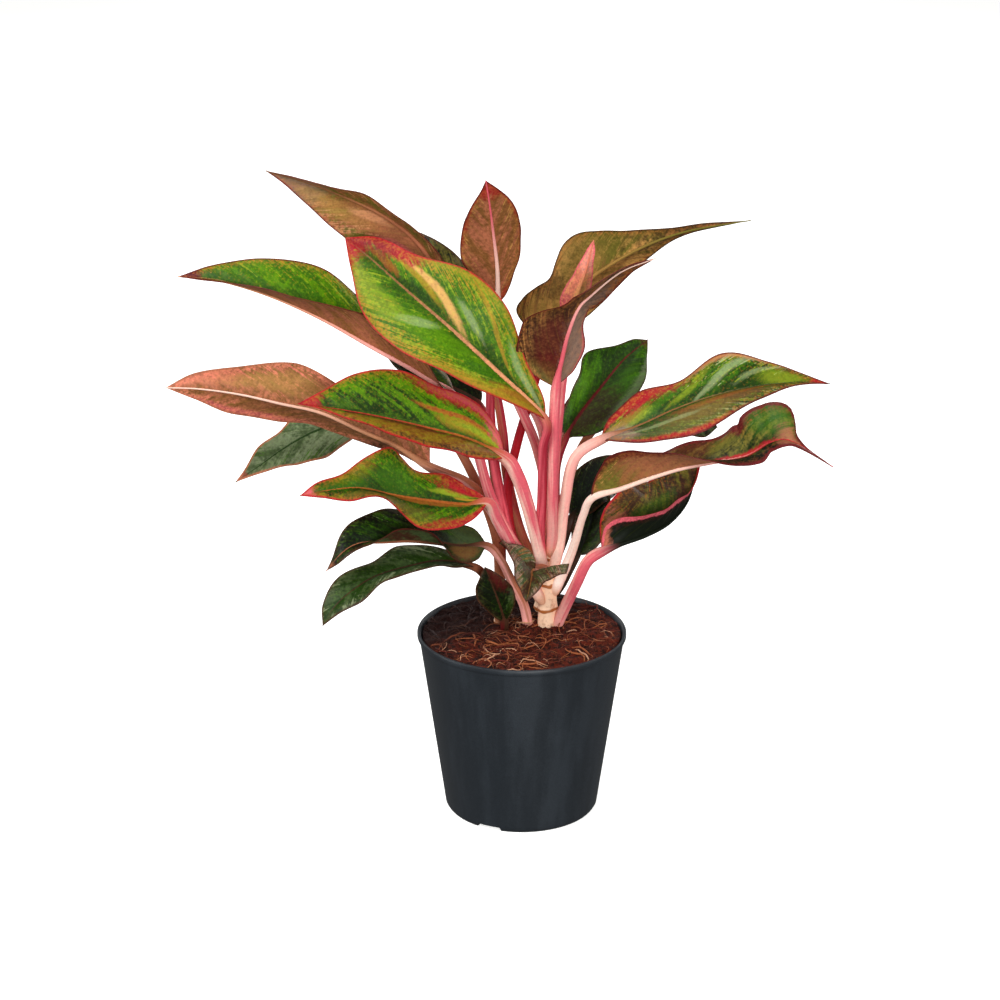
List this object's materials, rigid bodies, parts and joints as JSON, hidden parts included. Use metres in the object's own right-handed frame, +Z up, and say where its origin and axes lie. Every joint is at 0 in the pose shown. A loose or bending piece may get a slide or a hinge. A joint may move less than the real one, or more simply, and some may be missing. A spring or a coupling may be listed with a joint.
{
  "type": "potted crete chinese evergreen",
  "caption": "Bushy foliage plant with red-edged green leaves on pink stalks, in a plain black tapered nursery pot.",
  "frame": {"origin": "on the pot's axis, at the level of its foot, which stands on the table", "axes": "+Z up along the pot's axis, -Y towards the side seen in the picture, +X to that side's right"},
  "size_m": [0.364, 0.2061, 0.381],
  "materials": {
    "pot": "satin moulded plastic",
    "soil": "rough coir potting mix with loose fibres",
    "stem": "tan stem with ring scars, satin",
    "leaf_green": "waxy green and lime blade with a red margin and a pink stalk, satin",
    "leaf_bronze": "bronze to rose underside with a pink midrib and stalk, satin",
    "leaf_dark": "dark green shaded blade with a pink stalk, satin"
  },
  "bodies": {
    "root": {"pot": "pot", "soil": "soil", "stem_main": "stem", "stem_left": "stem", "stem_back": "stem", "leaf_01": "leaf_bronze", "leaf_02": "leaf_dark", "leaf_03": "leaf_green", "leaf_04": "leaf_green", "leaf_05": "leaf_bronze", "leaf_06": "leaf_bronze", "leaf_07": "leaf_dark", "leaf_08": "leaf_green", "leaf_09": "leaf_dark", "leaf_10": "leaf_green", "leaf_11": "leaf_dark", "leaf_12": "leaf_dark", "leaf_13": "leaf_dark", "leaf_14": "leaf_bronze", "leaf_15": "leaf_bronze", "leaf_16": "leaf_dark", "leaf_17": "leaf_bronze", "leaf_18": "leaf_green", "leaf_19": "leaf_bronze", "leaf_20": "leaf_green", "leaf_21": "leaf_bronze", "leaf_22": "leaf_dark", "leaf_23": "leaf_dark", "leaf_24": "leaf_dark", "leaf_25": "leaf_dark", "leaf_26": "leaf_dark"}
  },
  "joints": []
}
